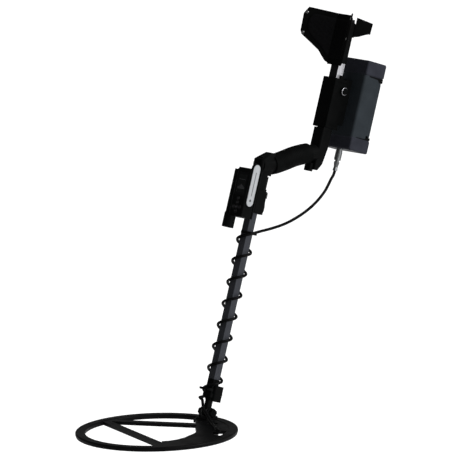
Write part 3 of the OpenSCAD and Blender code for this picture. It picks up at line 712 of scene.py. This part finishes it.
POD_FRONT = 51
KEY_TOP = POD_FRONT + 1.4
SYMBOL_T = 0.25
KEYS = {"menu": (0, 476.5), "up": (0, 466.8), "down": (0, 447.2), "left": (9.8, 457), "right": (-9.8, 457),
        "power": (0, 457)}


def on_key(name):
    """Places (u, v, w) on one key's face, sunk a little into it."""
    y, z = KEYS[name]

    def place(u, v, w):
        return shaft(KEY_TOP + w - 0.05, y + u, z + v)
    return place


def turned(points, angle):
    """An outline turned about its origin."""
    c, s = math.cos(angle), math.sin(angle)
    return [(c * u - s * v, s * u + c * v) for u, v in points]


arrow = [(-2, -1.2), (2, -1.2), (0, 1.8)]
for name, angle in (("up", 0), ("left", -math.pi / 2), ("down", math.pi), ("right", math.pi / 2)):
    symbol = plate("arrow_" + name, turned(arrow, angle), SYMBOL_T, on_key(name))
    add(symbol, name + "_key", "mark", "zinc")
bars = [plate("b", bar_outline(-1.9, v - 0.35, 1.9, v + 0.35), SYMBOL_T, on_key("menu"))
        for v in (-1.4, 0, 1.4)]
add(join("menu_bars", bars), "menu_key", "mark", "zinc")
ring_at = shaft(KEY_TOP - 0.05, *KEYS["power"])
ring = lathe("power_ring", ring_at, SHAFT_X, [(0.0011, 0), (0.0022, 0), (0.0022, 0.0003), (0.0011, 0.0003)])
add(ring, "power_key", "mark", "zinc")

# ---- display: a dark panel with plain bars on the window's face ----

WINDOW_Z = 510
BAR_T = 0.05


def on_window(u, v, w):
    return shaft(POD_FRONT + 0.22 + w, u, WINDOW_Z + v)


def on_panel(u, v, w):
    return on_window(u, v, w + 0.07)


add(plate("lcd_panel", bar_outline(-12, -20, 12, 20), 0.06, on_window), "handle", "lcd", "window")
bars = []
for i in range(7):
    top = -8 + 2.2 * (i if i < 4 else 6 - i)
    bars.append(plate("s", bar_outline(-9 + 3 * i, -12, -7.4 + 3 * i, top), BAR_T, on_panel))
bars.append(plate("s", bar_outline(-9, 9, 9, 9.8), BAR_T, on_panel))
add(join("lcd_bars", bars), "handle", "ink", "window")

# ---- floor and light: the tool is shown held up, high enough for its coil to tilt clear of the floor ----

FLOOR_DROP = 0.42
FLOOR_HALF = 40
WORLD_LIGHT = 0.26
floor_z = cad_box[0].z - FLOOR_DROP
corners = [(x * FLOOR_HALF, y * FLOOR_HALF, floor_z) for x, y in ((-1, -1), (1, -1), (1, 1), (-1, 1))]
floor = make_object("floor", corners, [(0, 1, 2, 3)], smooth=False)
pale = Maker("floor_pale", (0.93, 0.93, 0.93), 0.9, specular=0.1)
pale.vary(3, 0.01)
floor.data.materials.append(pale.mat)

world = bpy.data.worlds.new("studio")
bpy.context.scene.world = world
world.use_nodes = True
sky = world.node_tree.nodes["Background"]
sky.inputs["Color"].default_value = (1, 1, 1, 1)
sky.inputs["Strength"].default_value = WORLD_LIGHT
bpy.context.scene.view_settings.view_transform = "Standard"


def soft_box(name, place, aim, size, power):
    """A square or oblong area lamp; place and aim are in metres, power in watts."""
    lamp = bpy.data.objects.new(name, bpy.data.lights.new(name, "AREA"))
    bpy.context.scene.collection.objects.link(lamp)
    lamp.data.shape = "RECTANGLE"
    lamp.data.size, lamp.data.size_y = size
    lamp.data.energy = power
    lamp.location = place
    lamp.rotation_mode = "QUATERNION"
    lamp.rotation_quaternion = (Vector(aim) - Vector(place)).to_track_quat("-Z", "Y")


soft_box("key_light", (-1.6, 2.6, 1.6), (-0.1, 0, 0), (1.6, 1.6), 30)
soft_box("top_light", (0.4, 0.4, 3.0), (0.1, 0, -0.2), (2.4, 2.4), 20)

# a soft sun from the user's left that casts no shadow, as the photograph has none
fill = bpy.data.objects.new("side_fill", bpy.data.lights.new("side_fill", "SUN"))
bpy.context.scene.collection.objects.link(fill)
fill.data.energy = 6.6
fill.data.angle = math.radians(40)
fill.data.use_shadow = False
fill.data.cycles.cast_shadow = False
fill.rotation_mode = "QUATERNION"
fill.rotation_quaternion = Vector((0.25, -0.85, -0.45)).to_track_quat("-Z", "Y")
